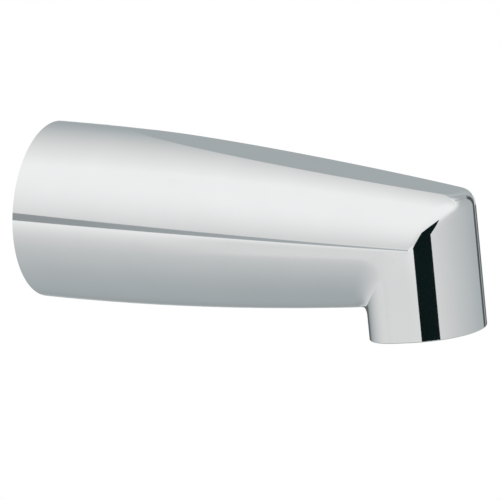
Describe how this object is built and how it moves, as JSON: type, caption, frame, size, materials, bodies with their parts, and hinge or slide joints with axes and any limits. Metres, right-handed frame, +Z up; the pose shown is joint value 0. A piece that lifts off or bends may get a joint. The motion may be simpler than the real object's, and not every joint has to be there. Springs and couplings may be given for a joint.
{
  "type": "bath spout",
  "caption": "Chrome bath spout: a crowned, tapering round body with a flat on top and a rounded nozzle that leans forward, slipped over a bare copper pipe.",
  "frame": {"origin": "centre of the round rim, in the plane of the wall", "axes": "+X out of the wall along the body's axis, +Z up"},
  "size_m": [0.172, 0.066, 0.0671],
  "materials": {
    "chrome_casting": "polished chrome plate on a zinc die casting",
    "brass": "turned",
    "seal_rubber": "matt",
    "screw_steel": "plain stainless steel"
  },
  "bodies": {
    "root": {"spout_body": "chrome_casting", "slip_fit_adapter": "brass", "rear_tube_seal": "seal_rubber", "front_tube_seal": "seal_rubber", "adapter_seal": "seal_rubber", "set_screw": "screw_steel"}
  },
  "joints": []
}
